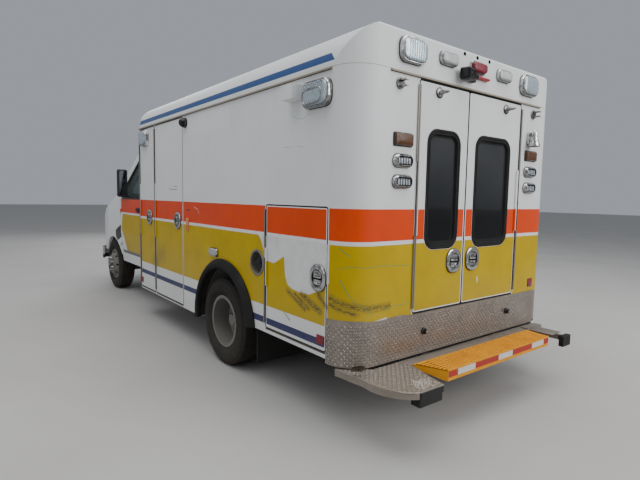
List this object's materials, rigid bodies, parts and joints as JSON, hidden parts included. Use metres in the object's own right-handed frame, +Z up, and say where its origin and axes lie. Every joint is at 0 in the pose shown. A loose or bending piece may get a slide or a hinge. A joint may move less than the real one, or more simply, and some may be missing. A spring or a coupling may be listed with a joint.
{
  "type": "box-body ambulance on a cutaway van cab",
  "caption": "Van-based ambulance: a tall box body with hinged doors and lockers on a cutaway cab, twin rear wheels and a folding rear step.",
  "frame": {"origin": "on the ground under the middle of the vehicle's box", "axes": "+X towards the front of the vehicle, +Y to its left, +Z up"},
  "size_m": [6.795, 2.4214, 2.466],
  "materials": {
    "white_paint": "gloss white enamel, dusty",
    "plain_metal": "mill finish sheet",
    "tread_plate": "diamond-pattern plate",
    "frame_paint": "black chassis paint",
    "engine_metal": "oily castings",
    "black_rubber": "matt rubber",
    "tyre_rubber": "dusty tread rubber",
    "wheel_paint": "grey wheel enamel",
    "dark_glass": "dark tinted glass",
    "cab_glass": "lightly tinted glass",
    "lamp_glass": "clear lenses in bright bezels",
    "black_plastic": "grained black plastic",
    "cab_trim": "grey cab trim",
    "seat_fabric": "grey woven cloth",
    "step_paint": "yellow-orange grip coating",
    "floor_finish": "sealed floor"
  },
  "bodies": {
    "chassis": {"chassis_frame": "frame_paint", "engine_block": "engine_metal", "rear_axle": "frame_paint", "front_axle": "frame_paint", "suspension_springs": "frame_paint", "fuel_tank": "black_plastic", "exhaust": "plain_metal", "module_floor": "floor_finish", "module_left_wall": "white_paint", "module_right_wall": "white_paint", "module_front_wall": "white_paint", "module_rear_frame": "white_paint", "module_roof": "white_paint", "locker_liners": "plain_metal", "wheel_wells": "plain_metal", "arch_rubbers": "black_rubber", "rear_bumper": "tread_plate", "exterior_lamps": "lamp_glass", "cab_floor": "floor_finish", "cab_frame": "white_paint", "cab_roof": "white_paint", "cab_bridge": "white_paint", "fenders": "white_paint", "grille": "white_paint", "front_bumper": "white_paint", "windscreen": "cab_glass", "dashboard": "cab_trim", "seats": "seat_fabric"},
    "steering_wheel": {"steering_wheel": "black_plastic"},
    "hood": {"hood": "white_paint"},
    "rear_step": {"rear_step": "step_paint"},
    "knuckle_left": {"knuckle_left": "frame_paint"},
    "knuckle_right": {"knuckle_right": "frame_paint"},
    "front_wheel_left": {"front_wheel_left": "wheel_paint", "front_tyre_left": "tyre_rubber"},
    "front_wheel_right": {"front_wheel_right": "wheel_paint", "front_tyre_right": "tyre_rubber"},
    "rear_wheels_left": {"rear_wheels_left": "wheel_paint", "rear_tyres_left": "tyre_rubber"},
    "rear_wheels_right": {"rear_wheels_right": "wheel_paint", "rear_tyres_right": "tyre_rubber"},
    "cab_door_left": {"cab_door_left": "white_paint", "cab_door_glass_left": "cab_glass", "mirror_left": "black_plastic"},
    "cab_door_right": {"cab_door_right": "white_paint", "cab_door_glass_right": "cab_glass", "mirror_right": "black_plastic"},
    "rear_door_left": {"rear_door_left": "white_paint", "rear_glass_left": "dark_glass"},
    "rear_door_right": {"rear_door_right": "white_paint", "rear_glass_right": "dark_glass"},
    "front_locker_door": {"front_locker_door": "white_paint"},
    "tall_locker_door": {"tall_locker_door": "white_paint"},
    "rear_locker_door": {"rear_locker_door": "white_paint"},
    "entry_door": {"entry_door": "white_paint", "entry_door_glass": "dark_glass"},
    "right_rear_locker_door": {"right_rear_locker_door": "white_paint"}
  },
  "joints": [
    {"name": "rear_wheels_left_spin", "type": "hinge", "parent": "chassis", "child": "rear_wheels_left", "pos_m": [-1.3625, 0.92, 0.372], "axis": [0, 1, 0], "continuous": true},
    {"name": "rear_wheels_right_spin", "type": "hinge", "parent": "chassis", "child": "rear_wheels_right", "pos_m": [-1.3625, -0.92, 0.372], "axis": [0, 1, 0], "continuous": true},
    {"name": "steer_left", "type": "hinge", "parent": "chassis", "child": "knuckle_left", "pos_m": [2.6505, 0.8, 0.372], "axis": [0, 0, 1], "range_deg": [-32, 32]},
    {"name": "front_wheel_left_spin", "type": "hinge", "parent": "knuckle_left", "child": "front_wheel_left", "pos_m": [2.6505, 0.881, 0.372], "axis": [0, 1, 0], "continuous": true},
    {"name": "steer_right", "type": "hinge", "parent": "chassis", "child": "knuckle_right", "pos_m": [2.6505, -0.8, 0.372], "axis": [0, 0, 1], "range_deg": [-32, 32]},
    {"name": "front_wheel_right_spin", "type": "hinge", "parent": "knuckle_right", "child": "front_wheel_right", "pos_m": [2.6505, -0.881, 0.372], "axis": [0, 1, 0], "continuous": true},
    {"name": "steering_wheel_turn", "type": "hinge", "parent": "chassis", "child": "steering_wheel", "pos_m": [1.8565, 0.42, 1.2], "axis": [-0.9037, 0, 0.4281], "range_deg": [-520, 520]},
    {"name": "cab_door_left_swing", "type": "hinge", "parent": "chassis", "child": "cab_door_left", "pos_m": [2.1815, 1.016, 1.2], "axis": [0, 0, -1], "range_deg": [0, 65]},
    {"name": "cab_door_right_swing", "type": "hinge", "parent": "chassis", "child": "cab_door_right", "pos_m": [2.1815, -1.016, 1.2], "axis": [0, 0, 1], "range_deg": [0, 65]},
    {"name": "rear_door_left_swing", "type": "hinge", "parent": "chassis", "child": "rear_door_left", "pos_m": [-2.9835, 0.598, 1.4], "axis": [0, 0, -1], "range_deg": [0, 140]},
    {"name": "rear_door_right_swing", "type": "hinge", "parent": "chassis", "child": "rear_door_right", "pos_m": [-2.9835, -0.615, 1.4], "axis": [0, 0, 1], "range_deg": [0, 140]},
    {"name": "front_locker_swing", "type": "hinge", "parent": "chassis", "child": "front_locker_door", "pos_m": [0.8175, 1.153, 1.2], "axis": [0, 0, -1], "range_deg": [0, 100]},
    {"name": "tall_locker_swing", "type": "hinge", "parent": "chassis", "child": "tall_locker_door", "pos_m": [0.3055, 1.153, 1.2], "axis": [0, 0, -1], "range_deg": [0, 100]},
    {"name": "rear_locker_swing", "type": "hinge", "parent": "chassis", "child": "rear_locker_door", "pos_m": [-2.0355, 1.153, 0.93], "axis": [0, 0, -1], "range_deg": [0, 100]},
    {"name": "entry_door_swing", "type": "hinge", "parent": "chassis", "child": "entry_door", "pos_m": [0.3055, -1.153, 1.2], "axis": [0, 0, 1], "range_deg": [0, 100]},
    {"name": "right_rear_locker_swing", "type": "hinge", "parent": "chassis", "child": "right_rear_locker_door", "pos_m": [-2.0355, -1.153, 0.93], "axis": [0, 0, 1], "range_deg": [0, 100]},
    {"name": "hood_lift", "type": "hinge", "parent": "chassis", "child": "hood", "pos_m": [2.4435, 0, 1.402], "axis": [0, -1, 0], "range_deg": [0, 55]},
    {"name": "rear_step_fold", "type": "hinge", "parent": "chassis", "child": "rear_step", "pos_m": [-3.0885, 0, 0.395], "axis": [0, 1, 0], "range_deg": [0, 88]}
  ],
  "couplings": [
    {"joint": "steer_right", "follows": "steer_left", "ratio": 1},
    {"joint": "steering_wheel_turn", "follows": "steer_left", "ratio": 16}
  ]
}
